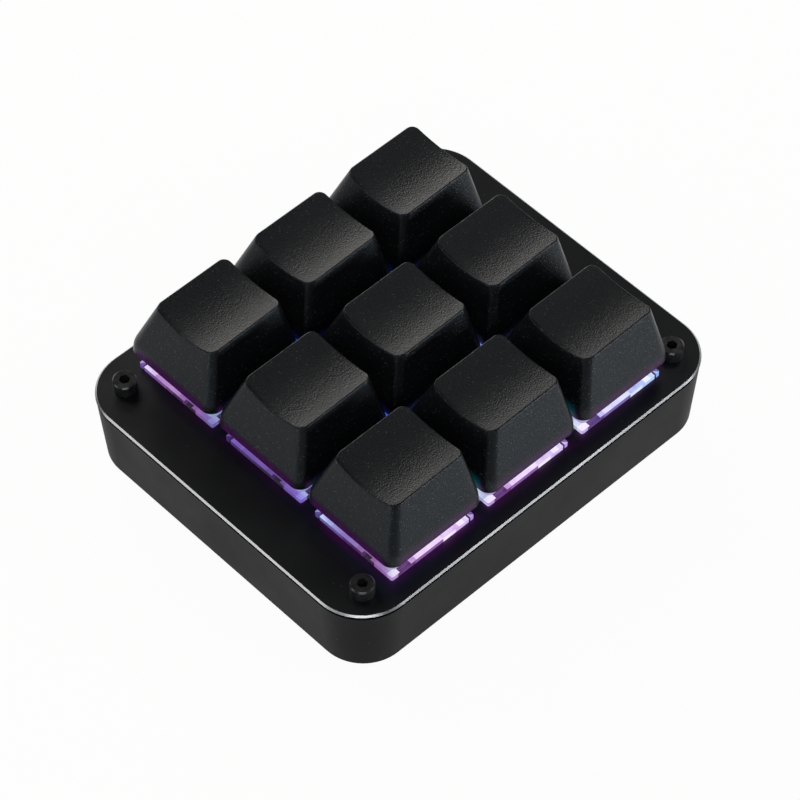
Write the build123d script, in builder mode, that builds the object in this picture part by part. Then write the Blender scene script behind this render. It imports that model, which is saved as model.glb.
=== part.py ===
# Nine-key macro keypad. A shallow metal tray is closed by a stepped lid plate, which carries
# nine mechanical key switches. A lit circuit board hangs from the switch pins inside the tray.
# Millimetres: X runs to the right, Y to the back and Z up. The origin lies under the middle of
# the tray, on the surface that the four feet stand on.
from build123d import *
from math import cos, dist, pi, radians, sin, sqrt, tan
import os

# Key grid
column_names = ("left", "center", "right")
row_names = ("front", "middle", "back")
key_pitch = 19.05
overrun = 1.0  # how far a cut runs past the face that it opens

# Tray
tray_side_margin = 11.85  # from an outer key's centre to the side wall, at the rim
tray_end_margin = 17.85  # from an outer key's centre to the front or back wall, at the rim
tray_corner_radius = 8.1
tray_wall = 2.0
tray_floor = 2.0
tray_draft = 0.9  # how far each wall leans in from the rim to the underside
foot_diameter = 8.0
foot_height = 1.0
foot_chamfer = 0.3
foot_inset = 8.0  # from the rim to a foot's centre

# Lid plate
lid_thickness = 1.5
lid_edge = 0.38  # thickness of the lip over the groove
lid_groove = 0.5  # height of the dark groove between the lip and the rim
lid_groove_depth = 0.35  # from the rim's outer edge
lid_overhang = 0.1
lid_chamfer = 0.3
lid_step_clearance = 0.15  # between the locating step and the tray wall

# Lid screws and the posts that take them
screw_side_offset = 6.45  # from an outer key's centre, along X
screw_end_offset = 12.3  # from an outer key's centre, along Y
screw_diameter = 2.0
screw_length = 6.0  # under the head
screw_head_diameter = 3.7
screw_head_height = 2.0
screw_head_chamfer = 0.2
screw_socket_flats = 1.5
screw_socket_depth = 1.1
screw_hole_clearance = 0.1
screw_thread_clearance = 0.03
screw_end_gap = 0.5
post_radius = 2.8

# Circuit board and what is soldered to it
board_thickness = 1.6
board_drop = 5.0  # from the lid's top to the board's top
board_wall_gap = 0.5
board_post_gap = 0.5
usb_width = 8.94
usb_height = 3.16
usb_depth = 7.3
usb_shell = 0.3
usb_back = 1.2
usb_tongue_width = 6.69
usb_tongue_thickness = 0.7
usb_tongue_setback = 0.8
usb_floor_gap = 1.1
usb_port_clearance = 0.25
chip_width = 7.0
chip_height = 1.0
crystal_length = 3.2
crystal_width = 2.5
crystal_height = 0.8
capacitor_length = 2.0
capacitor_width = 1.25
capacitor_height = 0.8
capacitor_gap = 0.8  # between the chip's edge and a capacitor
diode_length = 2.7
diode_width = 1.6
diode_height = 1.1
diode_side = 6.6  # from a key's centre, along X
diode_front = 4.2  # from a key's centre, towards the front
led_length = 3.2
led_width = 2.8
led_height = 1.9
led_front = 4.4  # from a key's centre, towards the front
led_clearance = 0.1

# Switch housing
switch_width = 13.9
switch_fit = 0.05  # on each side of the switch in the lid's cut-out
flange_width = 16.2
flange_height = 0.8
flange_radius = 0.3
flange_tab = 0.8  # between a corner and the slit beside it
flange_slit_width = 0.3
flange_slit_depth = 0.6
flange_notch_depth = 0.5  # in from the flange's edge
flange_notch_drop = 0.45  # down from the flange's top
end_notch_start = 4.5  # from the corner, along X
end_notch_length = 1.7
side_notch_start = 1.5  # from the corner, along Y
side_notch_length = 2.2
housing_wall = 1.0
housing_floor = 1.0
hood_base_width = 14.6
hood_top_width = 10.6
hood_corner_radius = 0.9
hood_height = 6.4  # from the lid's top to the switch's top
hood_roof = 1.2
peg_radius = 2.0  # the locating peg in the middle of the board's hole
side_peg_radius = 0.85
side_peg_offset = 5.08
peg_clearance = 0.05

# Stem, its guide and its spring
travel = 3.1
slider_width = 6.8
slider_depth = 5.8
slider_clearance = 0.2
slider_roof = 1.6
slider_skirt = 3.7  # height of the winged part
wing_width = 8.4
wing_gap = 0.1  # between the wings and the hood's roof
cross_span = 4.0
cross_bar = 1.2
cross_height = 3.6
cross_fit = 0.05
cross_end_gap = 0.2
pole_radius = 1.0
pole_clearance = 0.08
pole_end_gap = 0.3
pole_engagement = 0.5
guide_sump = 0.6  # how far the guide's bore sinks into the housing floor
spring_wire = 0.3
spring_radius = 1.95  # at the middle of the wire
spring_turns = 8
spring_end_gap = 0.1
spring_guide_clearance = 0.2
spring_bore_clearance = 0.25

# Contact leaves
leaf_thickness = 0.3
leaf_width = 4.6
leaf_height = 4.4
pin_width = 0.8
pin_tail = 1.7  # below the board
pin_clearance = 0.1
moving_pin_side = 3.81
moving_pin_back = 4.2
fixed_pin_side = 2.54
fixed_pin_back = 5.08

# Keycap
keycap_base = 18.35
keycap_base_radius = 1.9
keycap_band = 1.6  # height of the nearly upright band above the skirt's edge
keycap_band_draft = 0.1
keycap_height = 9.7
keycap_top_width = 12.4
keycap_top_depth = 13.5
keycap_top_radius = 1.3
keycap_top_setback = 1.2  # how far the top lies behind the key's centre
keycap_wall = 0.9
keycap_roof = 1.5
keycap_edge_chamfer = 0.3
keycap_post_radius = 2.7
keycap_press_gap = 0.95  # left under the skirt when the key is down
dish_depth = 0.85
dish_skim = 0.06  # the least that the dish takes off the top
dish_tilt = 1.2  # degrees, up towards the back

# Heights of the stack, from the feet up
tray_bottom = foot_height
floor_top = tray_bottom + tray_floor
board_bottom = floor_top + usb_floor_gap + usb_height
board_top = board_bottom + board_thickness
lid_top = board_top + board_drop
lid_bottom = lid_top - lid_thickness
lid_lip = lid_edge + lid_groove
rim = lid_top - lid_lip

# Outlines in plan
columns = len(column_names)
rows = len(row_names)
grid_half_width = key_pitch * (columns - 1) / 2
grid_half_length = key_pitch * (rows - 1) / 2
rim_half_width = grid_half_width + tray_side_margin
rim_half_length = grid_half_length + tray_end_margin
bay_half_width = rim_half_width - tray_wall
bay_half_length = rim_half_length - tray_wall
bay_radius = tray_corner_radius - tray_wall
screw_x = grid_half_width + screw_side_offset
screw_y = grid_half_length + screw_end_offset
foot_x = rim_half_width - foot_inset
foot_y = rim_half_length - foot_inset
usb_face = rim_half_length - tray_draft
usb_middle = board_bottom - usb_height / 2
usb_radius = usb_height / 2 - usb_shell / 2
tongue_front = usb_face - usb_tongue_setback

# Heights inside a switch
flange_top = lid_top + flange_height
hood_top = lid_top + hood_height
roof_underside = hood_top - hood_roof
housing_floor_top = board_top + housing_floor
wing_top = roof_underside - wing_gap
slider_bottom = wing_top - slider_skirt
bore_roof = hood_top - slider_roof
sump_bottom = housing_floor_top - guide_sump
pole_bottom = sump_bottom + pole_end_gap + travel
guide_top = pole_bottom + pole_engagement
guide_radius = spring_radius - spring_wire / 2 - spring_guide_clearance
bore_radius = spring_radius + spring_wire / 2 + spring_bore_clearance
hood_lean_share = (hood_base_width - hood_top_width) / (hood_top - flange_top)
hood_roof_width = hood_top_width + hood_lean_share * hood_roof

# Heights and sizes of a keycap
skirt_bottom = lid_top + keycap_press_gap + travel
keycap_top = skirt_bottom + keycap_height
dish_fall = keycap_top_depth * tan(radians(dish_tilt))
dish_front_bottom = keycap_top - dish_skim - dish_depth - dish_fall
cavity_top = dish_front_bottom - keycap_roof
band_top = skirt_bottom + keycap_band
band_width = keycap_base - 2 * keycap_band_draft
cavity_share = (cavity_top - band_top) / (keycap_top - band_top)
cavity_width = band_width + (keycap_top_width - band_width) * cavity_share - 2 * keycap_wall
cavity_depth = band_width + (keycap_top_depth - band_width) * cavity_share - 2 * keycap_wall
cavity_radius = keycap_base_radius - keycap_wall
dish_radius = ((keycap_top_width / 2) ** 2 + dish_depth**2) / (2 * dish_depth)


def socket_outline(growth):
    """The flat-sided oval of the cable socket's shell, grown by a margin on every side."""
    RectangleRounded(usb_width + 2 * growth, usb_height + 2 * growth, usb_radius + growth)


def helix_point(turn):
    """A point on the spring's centre line, a number of turns above its lower end."""
    angle = 2 * pi * turn
    rise = spring_pitch * turn
    return Vector(spring_radius * cos(angle), spring_radius * sin(angle), spring_start + rise)


def helix_tangent(turn):
    """The spring's direction at the same point."""
    angle = 2 * pi * turn
    run = 2 * pi * spring_radius
    return Vector(-run * sin(angle), run * cos(angle), spring_pitch).normalized()


def add_biarc(start, end, start_tangent, end_tangent):
    """Two arcs that meet smoothly, with equal tangent lengths at their outer ends."""
    chord = end - start
    bend = 2 * (1 - start_tangent.dot(end_tangent))
    reach = chord.dot(start_tangent + end_tangent)
    length = (sqrt(reach**2 + bend * chord.dot(chord)) - reach) / bend
    start_handle = start + start_tangent * length
    end_handle = end - end_tangent * length
    joint = (start_handle + end_handle) / 2
    TangentArc(start, joint, tangent=start_tangent)
    TangentArc(joint, end, tangent=end_handle - start_handle)


# Tray: an open box with leaning walls, four screw posts and the port for the cable socket
with BuildPart() as tray:
    with BuildSketch(Plane.XY.offset(tray_bottom)):
        RectangleRounded(
            2 * (rim_half_width - tray_draft),
            2 * (rim_half_length - tray_draft),
            tray_corner_radius - tray_draft,
        )
    with BuildSketch(Plane.XY.offset(rim)):
        RectangleRounded(2 * rim_half_width, 2 * rim_half_length, tray_corner_radius)
    loft()
    with BuildSketch(Plane.XY.offset(floor_top)):
        RectangleRounded(2 * bay_half_width, 2 * bay_half_length, bay_radius)
    extrude(amount=rim - floor_top + overrun, mode=Mode.SUBTRACT)
    with BuildSketch(Plane.XY.offset(floor_top)):
        with GridLocations(2 * screw_x, 2 * screw_y, 2, 2):
            Circle(post_radius)
    extrude(amount=lid_bottom - floor_top)
    with BuildSketch(Plane.XY.offset(lid_bottom)):
        with GridLocations(2 * screw_x, 2 * screw_y, 2, 2):
            Circle(screw_diameter / 2 + screw_thread_clearance)
    extrude(amount=lid_thickness - screw_length - screw_end_gap, mode=Mode.SUBTRACT)
    with BuildSketch(Plane((0, bay_half_length, usb_middle), x_dir=(1, 0, 0), z_dir=(0, 1, 0))):
        socket_outline(usb_port_clearance)
    extrude(amount=tray_wall + overrun, mode=Mode.SUBTRACT)
tray.part.label = "tray"

# Feet: four soft discs stuck under the tray
with BuildPart() as rubber_feet:
    with BuildSketch():
        with GridLocations(2 * foot_x, 2 * foot_y, 2, 2):
            Circle(foot_diameter / 2)
    extrude(amount=foot_height)
    chamfer(rubber_feet.edges().group_by(Axis.Z)[0], length=foot_chamfer)
rubber_feet.part.label = "rubber_feet"

# Lid plate: a lip over a groove at the tray's rim, a step that drops inside it, and the switch cut-outs
with BuildPart() as lid_plate:
    with BuildSketch(Plane.XY.offset(rim)):
        RectangleRounded(
            2 * (rim_half_width - lid_groove_depth),
            2 * (rim_half_length - lid_groove_depth),
            tray_corner_radius - lid_groove_depth,
        )
    extrude(amount=lid_groove)
    with BuildSketch(Plane.XY.offset(lid_top - lid_edge)):
        RectangleRounded(
            2 * (rim_half_width + lid_overhang),
            2 * (rim_half_length + lid_overhang),
            tray_corner_radius + lid_overhang,
        )
    extrude(amount=lid_edge)
    chamfer(lid_plate.faces().sort_by(Axis.Z)[-1].edges(), length=lid_chamfer)
    with BuildSketch(Plane.XY.offset(lid_bottom)):
        RectangleRounded(
            2 * (bay_half_width - lid_step_clearance),
            2 * (bay_half_length - lid_step_clearance),
            bay_radius - lid_step_clearance,
        )
    extrude(amount=lid_thickness - lid_lip)
    with BuildSketch(Plane.XY.offset(lid_bottom - overrun)):
        with GridLocations(key_pitch, key_pitch, columns, rows):
            Rectangle(switch_width + 2 * switch_fit, switch_width + 2 * switch_fit)
        with GridLocations(2 * screw_x, 2 * screw_y, 2, 2):
            Circle(screw_diameter / 2 + screw_hole_clearance)
    extrude(amount=lid_thickness + 2 * overrun, mode=Mode.SUBTRACT)
lid_plate.part.label = "lid_plate"

# Lid screws: four socket-head cap screws
with BuildPart() as lid_screws:
    with BuildSketch(Plane.XY.offset(lid_top)):
        with GridLocations(2 * screw_x, 2 * screw_y, 2, 2):
            Circle(screw_head_diameter / 2)
    extrude(amount=screw_head_height)
    chamfer(lid_screws.edges().group_by(Axis.Z)[-1], length=screw_head_chamfer)
    with BuildSketch(Plane.XY.offset(lid_top)):
        with GridLocations(2 * screw_x, 2 * screw_y, 2, 2):
            Circle(screw_diameter / 2)
    extrude(amount=-screw_length)
    with BuildSketch(Plane.XY.offset(lid_top + screw_head_height)):
        with GridLocations(2 * screw_x, 2 * screw_y, 2, 2):
            RegularPolygon(screw_socket_flats / 2, 6, major_radius=False)
    extrude(amount=-screw_socket_depth, mode=Mode.SUBTRACT)
lid_screws.part.label = "lid_screws"

# Circuit board: clears the front posts, and reaches back between the rear posts to the socket
board_front = post_radius + board_post_gap - screw_y
board_back = bay_half_length - board_wall_gap
board_half_width = bay_half_width - board_wall_gap
notch_x = screw_x - post_radius - board_post_gap
with BuildPart() as circuit_board:
    with BuildSketch(Plane.XY.offset(board_bottom)):
        with BuildLine():
            Polyline(
                (-board_half_width, board_front),
                (board_half_width, board_front),
                (board_half_width, -board_front),
                (notch_x, -board_front),
                (notch_x, board_back),
                (-notch_x, board_back),
                (-notch_x, -board_front),
                (-board_half_width, -board_front),
                close=True,
            )
        make_face()
        with GridLocations(key_pitch, key_pitch, columns, rows):
            Circle(peg_radius + peg_clearance, mode=Mode.SUBTRACT)
            with Locations((-side_peg_offset, 0), (side_peg_offset, 0)):
                Circle(side_peg_radius + peg_clearance, mode=Mode.SUBTRACT)
            with Locations((-moving_pin_side, moving_pin_back), (fixed_pin_side, fixed_pin_back)):
                Circle(pin_width / 2 + pin_clearance, mode=Mode.SUBTRACT)
            with Locations((0, -led_front)):
                Rectangle(led_length + 2 * led_clearance, led_width + 2 * led_clearance, mode=Mode.SUBTRACT)
    extrude(amount=board_thickness)
circuit_board.part.label = "circuit_board"

# Cable socket: an oval shell with a closed back and a contact tongue, under the board's edge
with BuildPart() as usb_socket:
    with BuildSketch(Plane((0, usb_face, usb_middle), x_dir=(1, 0, 0), z_dir=(0, 1, 0))):
        socket_outline(0)
    extrude(amount=-usb_depth)
    with BuildSketch(Plane((0, usb_face, usb_middle), x_dir=(1, 0, 0), z_dir=(0, 1, 0))):
        socket_outline(-usb_shell)
    extrude(amount=usb_back - usb_depth, mode=Mode.SUBTRACT)
    with BuildSketch(Plane((0, tongue_front, usb_middle), x_dir=(1, 0, 0), z_dir=(0, 1, 0))):
        Rectangle(usb_tongue_width, usb_tongue_thickness)
    extrude(amount=usb_face - tongue_front + usb_back - usb_depth)
usb_socket.part.label = "usb_socket"

# Controller chip, its clock crystal and its capacitors, under the board between the keys
with BuildPart() as controller_chip:
    with BuildSketch(Plane.XY.offset(board_bottom)):
        with Locations((key_pitch / 2, -key_pitch / 2)):
            Rectangle(chip_width, chip_width)
    extrude(amount=-chip_height)
controller_chip.part.label = "controller_chip"

with BuildPart() as clock_crystal:
    with BuildSketch(Plane.XY.offset(board_bottom)):
        with Locations((-key_pitch / 2, -key_pitch / 2)):
            Rectangle(crystal_length, crystal_width)
    extrude(amount=-crystal_height)
clock_crystal.part.label = "clock_crystal"

with BuildPart() as capacitors:
    with BuildSketch(Plane.XY.offset(board_bottom)):
        with Locations((key_pitch / 2, -key_pitch / 2)):
            with PolarLocations(chip_width / 2 + capacitor_gap + capacitor_width / 2, 4):
                Rectangle(capacitor_width, capacitor_length)
    extrude(amount=-capacitor_height)
capacitors.part.label = "capacitors"

# Key diodes: one under the board beside each switch
with BuildPart() as key_diodes:
    with BuildSketch(Plane.XY.offset(board_bottom)):
        with GridLocations(key_pitch, key_pitch, columns, rows):
            with Locations((diode_side, -diode_front)):
                Rectangle(diode_length, diode_width)
    extrude(amount=-diode_height)
key_diodes.part.label = "key_diodes"

# Key lamps: one set into the board under the light window of each switch
with BuildPart() as key_lamps:
    with BuildSketch(Plane.XY.offset(board_top)):
        with GridLocations(key_pitch, key_pitch, columns, rows):
            with Locations((0, -led_front)):
                Rectangle(led_length, led_width)
    extrude(amount=-led_height)
key_lamps.part.label = "key_lamps"

# Contact leaves: each stands on the housing floor, with a pin down through the board
moving_pin = (-moving_pin_side, moving_pin_back)
fixed_pin = (fixed_pin_side, fixed_pin_back)
leaf_shift = leaf_width / 2 - pin_width / 2
pin_length = housing_floor_top - board_bottom + pin_tail
with BuildPart() as moving_contacts:
    with BuildSketch(Plane.XY.offset(housing_floor_top)):
        with GridLocations(key_pitch, key_pitch, columns, rows):
            with Locations((leaf_shift - moving_pin_side, moving_pin_back)):
                Rectangle(leaf_width, leaf_thickness)
    extrude(amount=leaf_height)
    with BuildSketch(Plane.XY.offset(housing_floor_top)):
        with GridLocations(key_pitch, key_pitch, columns, rows):
            with Locations(moving_pin):
                Rectangle(pin_width, leaf_thickness)
    extrude(amount=-pin_length)
moving_contacts.part.label = "moving_contacts"

with BuildPart() as fixed_contacts:
    with BuildSketch(Plane.XY.offset(housing_floor_top)):
        with GridLocations(key_pitch, key_pitch, columns, rows):
            with Locations((fixed_pin_side - leaf_shift, fixed_pin_back)):
                Rectangle(leaf_width, leaf_thickness)
    extrude(amount=leaf_height)
    with BuildSketch(Plane.XY.offset(housing_floor_top)):
        with GridLocations(key_pitch, key_pitch, columns, rows):
            with Locations(fixed_pin):
                Rectangle(pin_width, leaf_thickness)
    extrude(amount=-pin_length)
fixed_contacts.part.label = "fixed_contacts"

# Switch base: a box through the lid, hung by its flange, with the stem's guide tube inside
slit_reach = flange_width / 2 - flange_tab - flange_slit_width / 2
slit_edge = flange_width / 2 - flange_slit_depth / 2
notch_edge = flange_width / 2 - flange_notch_depth / 2
end_notch_x = flange_width / 2 - end_notch_start - end_notch_length / 2
side_notch_y = flange_width / 2 - side_notch_start - side_notch_length / 2
with BuildPart() as switch_base:
    with BuildSketch(Plane.XY.offset(board_top)):
        Rectangle(switch_width, switch_width)
    extrude(amount=lid_top - board_top)
    with BuildSketch(Plane.XY.offset(lid_top)):
        RectangleRounded(flange_width, flange_width, flange_radius)
        with Locations((-slit_reach, -slit_edge), (slit_reach, slit_edge)):
            Rectangle(flange_slit_width, flange_slit_depth, mode=Mode.SUBTRACT)
        with Locations((-slit_edge, -slit_reach), (slit_edge, slit_reach)):
            Rectangle(flange_slit_depth, flange_slit_width, mode=Mode.SUBTRACT)
    extrude(amount=flange_height)
    with BuildSketch(Plane.XY.offset(flange_top)):
        with Locations((end_notch_x, -notch_edge), (-end_notch_x, notch_edge)):
            Rectangle(end_notch_length, flange_notch_depth)
        with Locations((notch_edge, -side_notch_y), (-notch_edge, side_notch_y)):
            Rectangle(flange_notch_depth, side_notch_length)
    extrude(amount=-flange_notch_drop, mode=Mode.SUBTRACT)
    with BuildSketch(Plane.XY.offset(housing_floor_top)):
        Rectangle(switch_width - 2 * housing_wall, switch_width - 2 * housing_wall)
    extrude(amount=flange_top - housing_floor_top + overrun, mode=Mode.SUBTRACT)
    with BuildSketch(Plane.XY.offset(housing_floor_top)):
        Circle(guide_radius)
    extrude(amount=guide_top - housing_floor_top)
    with BuildSketch(Plane.XY.offset(board_top)):
        Circle(peg_radius)
        with Locations((-side_peg_offset, 0), (side_peg_offset, 0)):
            Circle(side_peg_radius)
    extrude(amount=-board_thickness)
    with BuildSketch(Plane.XY.offset(sump_bottom)):
        Circle(pole_radius + pole_clearance)
    extrude(amount=guide_top - sump_bottom + overrun, mode=Mode.SUBTRACT)
    with BuildSketch(Plane.XY.offset(board_top)):
        with Locations(moving_pin, fixed_pin):
            Rectangle(pin_width + 2 * pin_clearance, leaf_thickness + 2 * pin_clearance)
        with Locations((0, -led_front)):
            Rectangle(led_length - 2 * led_clearance, led_width - 2 * led_clearance)
    extrude(amount=housing_floor, mode=Mode.SUBTRACT)

# Switch hood: a tapered clear cover on the flange, open at the top for the stem
with BuildPart() as switch_hood:
    with BuildSketch(Plane.XY.offset(flange_top)):
        RectangleRounded(hood_base_width, hood_base_width, hood_corner_radius)
    with BuildSketch(Plane.XY.offset(hood_top)):
        RectangleRounded(hood_top_width, hood_top_width, hood_corner_radius)
    loft()
    with BuildSketch(Plane.XY.offset(flange_top)):
        Rectangle(hood_base_width - 2 * housing_wall, hood_base_width - 2 * housing_wall)
    with BuildSketch(Plane.XY.offset(roof_underside)):
        Rectangle(hood_roof_width - 2 * housing_wall, hood_roof_width - 2 * housing_wall)
    loft(mode=Mode.SUBTRACT)
    with BuildSketch(Plane.XY.offset(roof_underside - overrun)):
        Rectangle(slider_width + 2 * slider_clearance, slider_depth + 2 * slider_clearance)
    extrude(amount=hood_roof + 2 * overrun, mode=Mode.SUBTRACT)

# Stem: a hollow slider with stop wings, the keycap's cross above and a guide pole inside
with BuildPart() as stem:
    with BuildSketch(Plane.XY.offset(slider_bottom)):
        Rectangle(wing_width, slider_depth)
    extrude(amount=slider_skirt)
    with BuildSketch(Plane.XY.offset(wing_top)):
        Rectangle(slider_width, slider_depth)
    extrude(amount=hood_top - wing_top)
    with BuildSketch(Plane.XY.offset(hood_top)):
        Rectangle(cross_span, cross_bar)
        Rectangle(cross_bar, cross_span)
    extrude(amount=cross_height)
    with BuildSketch(Plane.XY.offset(slider_bottom - overrun)):
        Circle(bore_radius)
    extrude(amount=bore_roof - slider_bottom + overrun, mode=Mode.SUBTRACT)
    with BuildSketch(Plane.XY.offset(pole_bottom)):
        Circle(pole_radius)
    extrude(amount=bore_roof - pole_bottom)

# Return spring: one wire wound round the guide tube, up into the hollow of the slider
spring_start = housing_floor_top + spring_wire / 2 + spring_end_gap
spring_pitch = (bore_roof - spring_wire / 2 - spring_end_gap - spring_start) / spring_turns
with BuildPart() as spring:
    with BuildLine() as spring_path:
        half_turns = [step / 2 for step in range(2 * spring_turns + 1)]
        for low, high in zip(half_turns, half_turns[1:]):
            add_biarc(helix_point(low), helix_point(high), helix_tangent(low), helix_tangent(high))
    with BuildSketch(Plane(helix_point(0), z_dir=helix_tangent(0))):
        Circle(spring_wire / 2)
    sweep(path=spring_path.wires()[0])

# Keycap: a shell that leans in above an upright band, with a dished top, and a post inside
# that grips the stem's cross
with BuildPart() as keycap:
    with BuildSketch(Plane.XY.offset(skirt_bottom)):
        RectangleRounded(keycap_base, keycap_base, keycap_base_radius)
    with BuildSketch(Plane.XY.offset(band_top)):
        RectangleRounded(band_width, band_width, keycap_base_radius)
    with BuildSketch(Plane.XY.offset(keycap_top)):
        with Locations((0, keycap_top_setback)):
            RectangleRounded(keycap_top_width, keycap_top_depth, keycap_top_radius)
    loft(ruled=True)
    dish_place = (0, keycap_top_setback, dish_front_bottom + dish_fall / 2 + dish_radius)
    with Locations(Location(dish_place, (dish_tilt - 90, 0, 0))):
        Cylinder(dish_radius, 2 * keycap_base, mode=Mode.SUBTRACT)
    chamfer(keycap.faces().sort_by(Axis.Z)[-1].edges(), length=keycap_edge_chamfer)
    with BuildSketch(Plane.XY.offset(skirt_bottom)):
        RectangleRounded(keycap_base - 2 * keycap_wall, keycap_base - 2 * keycap_wall, cavity_radius)
    with BuildSketch(Plane.XY.offset(cavity_top)):
        with Locations((0, keycap_top_setback * cavity_share)):
            RectangleRounded(cavity_width, cavity_depth, keycap_top_radius)
    loft(mode=Mode.SUBTRACT)
    with BuildSketch(Plane.XY.offset(hood_top)):
        Circle(keycap_post_radius)
    extrude(amount=cavity_top - hood_top)
    with BuildSketch(Plane.XY.offset(hood_top)):
        Rectangle(cross_span + 2 * cross_fit, cross_bar + 2 * cross_fit)
        Rectangle(cross_bar + 2 * cross_fit, cross_span + 2 * cross_fit)
    extrude(amount=cross_height + cross_end_gap, mode=Mode.SUBTRACT)

# The spring's least gap between turns, on points a sixteenth of a turn apart
gap_steps = 16
wire_points = [tuple(helix_point(step / gap_steps)) for step in range(spring_turns * gap_steps + 1)]
spring_gap = min(
    dist(first, second) - spring_wire
    for place, first in enumerate(wire_points)
    for second in wire_points[place + gap_steps // 2 :]
)
print(f"least gap between spring turns: {spring_gap:.2f} mm")

# Write the single pieces, then a copy of each switch piece and keycap at every key
os.makedirs("parts", exist_ok=True)
single_pieces = (
    tray,
    rubber_feet,
    lid_plate,
    lid_screws,
    circuit_board,
    usb_socket,
    controller_chip,
    clock_crystal,
    capacitors,
    key_diodes,
    key_lamps,
    moving_contacts,
    fixed_contacts,
)
for piece in single_pieces:
    export_step(piece.part, f"parts/{piece.part.label}.step")

key_pieces = {
    "switch_base": switch_base,
    "switch_hood": switch_hood,
    "stem": stem,
    "spring": spring,
    "keycap": keycap,
}
for row, row_name in enumerate(row_names):
    for column, column_name in enumerate(column_names):
        place = Location((key_pitch * column - grid_half_width, key_pitch * row - grid_half_length, 0))
        for piece_name, piece in key_pieces.items():
            key_piece = piece.part.moved(place)
            key_piece.label = f"{piece_name}_{row_name}_{column_name}"
            export_step(key_piece, f"parts/{key_piece.label}.step")
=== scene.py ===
import math

import bpy
import numpy as np
from mathutils import Matrix, Vector


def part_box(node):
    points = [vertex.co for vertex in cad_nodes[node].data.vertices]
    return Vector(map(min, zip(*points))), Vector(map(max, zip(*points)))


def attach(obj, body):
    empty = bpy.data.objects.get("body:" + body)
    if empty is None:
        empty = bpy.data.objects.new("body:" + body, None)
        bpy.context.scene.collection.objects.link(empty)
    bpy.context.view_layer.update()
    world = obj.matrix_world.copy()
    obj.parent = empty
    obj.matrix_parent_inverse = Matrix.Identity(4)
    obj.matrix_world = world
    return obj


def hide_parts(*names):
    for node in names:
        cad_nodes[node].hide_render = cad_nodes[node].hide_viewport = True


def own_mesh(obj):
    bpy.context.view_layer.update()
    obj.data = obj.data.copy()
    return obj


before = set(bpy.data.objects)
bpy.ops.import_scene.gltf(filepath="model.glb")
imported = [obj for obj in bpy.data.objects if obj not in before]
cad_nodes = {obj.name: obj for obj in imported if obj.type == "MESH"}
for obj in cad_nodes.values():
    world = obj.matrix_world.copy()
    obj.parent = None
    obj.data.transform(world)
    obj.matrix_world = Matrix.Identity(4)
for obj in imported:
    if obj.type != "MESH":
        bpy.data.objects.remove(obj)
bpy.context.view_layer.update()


# Tray
# The lower half of the case: a shallow box milled from aluminium, blasted to a fine matt and
# anodised black. Its walls lean in a little towards the desk, and its posts take the lid screws.
blast_scale = 9000.0
blast_depth = 0.00001
anodised_fleck = (0.07, 0.07, 0.07)
anodised_fleck_scale = 1800.0
case_tone = (0.0038, 0.0038, 0.0039)
case_gloss = 0.075
fleck_reach = 0.24
fleck_core = 0.12


def start_material(name):
    """A new material, its node tree and its Principled shader."""
    material = bpy.data.materials.new(name)
    material.use_nodes = True
    tree = material.node_tree
    return material, tree, tree.nodes["Principled BSDF"]


def add_node(tree, kind, **settings):
    """A node of that kind; each setting is an input socket's value or a property of the node."""
    node = tree.nodes.new(kind)
    for name, value in settings.items():
        label = name.replace("_", " ").title()
        if label in node.inputs:
            node.inputs[label].default_value = value
        else:
            setattr(node, name, value)
    return node


def make_group(name, inputs, outputs):
    """An empty node group with float inputs and outputs, and its two end nodes."""
    group = bpy.data.node_groups.new(name, "ShaderNodeTree")
    for label, value in inputs.items():
        socket = group.interface.new_socket(label, in_out="INPUT", socket_type="NodeSocketFloat")
        socket.default_value = value
    for label in outputs:
        group.interface.new_socket(label, in_out="OUTPUT", socket_type="NodeSocketFloat")
    return group, group.nodes.new("NodeGroupInput"), group.nodes.new("NodeGroupOutput")


def make_grain_group():
    """Fine grain height and slow cloudy variation from noise, and sparse round flecks from scattered
    cells, all on the piece's own coordinates."""
    inputs = {"Grain Scale": 4000.0, "Cloud Scale": 60.0, "Fleck Scale": 1500.0, "Fleck Share": 0.4}
    group, entry, result = make_group("surface_grain", inputs, ("Height", "Cloud", "Fleck"))
    place = group.nodes.new("ShaderNodeTexCoord")
    grain = add_node(group, "ShaderNodeTexNoise", detail=2.0, roughness=0.55)
    cloud = add_node(group, "ShaderNodeTexNoise", detail=4.0, roughness=0.6)
    cell = group.nodes.new("ShaderNodeTexVoronoi")
    for texture, scale in ((grain, "Grain Scale"), (cloud, "Cloud Scale"), (cell, "Fleck Scale")):
        group.links.new(place.outputs["Object"], texture.inputs["Vector"])
        group.links.new(entry.outputs[scale], texture.inputs["Scale"])
    chance = group.nodes.new("ShaderNodeSeparateColor")
    group.links.new(cell.outputs["Color"], chance.inputs["Color"])
    chosen = add_node(group, "ShaderNodeMath", operation="LESS_THAN")
    group.links.new(chance.outputs["Red"], chosen.inputs[0])
    group.links.new(entry.outputs["Fleck Share"], chosen.inputs[1])
    spot = add_node(group, "ShaderNodeMapRange", from_min=fleck_reach, from_max=fleck_core)
    group.links.new(cell.outputs["Distance"], spot.inputs["Value"])
    shine = add_node(group, "ShaderNodeMath", operation="MULTIPLY")
    group.links.new(chance.outputs["Green"], shine.inputs[0])
    group.links.new(spot.outputs["Result"], shine.inputs[1])
    fleck = add_node(group, "ShaderNodeMath", operation="MULTIPLY")
    group.links.new(chosen.outputs["Value"], fleck.inputs[0])
    group.links.new(shine.outputs["Value"], fleck.inputs[1])
    group.links.new(grain.outputs["Fac"], result.inputs["Height"])
    group.links.new(cloud.outputs["Fac"], result.inputs["Cloud"])
    group.links.new(fleck.outputs["Value"], result.inputs["Fleck"])
    return group


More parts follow.
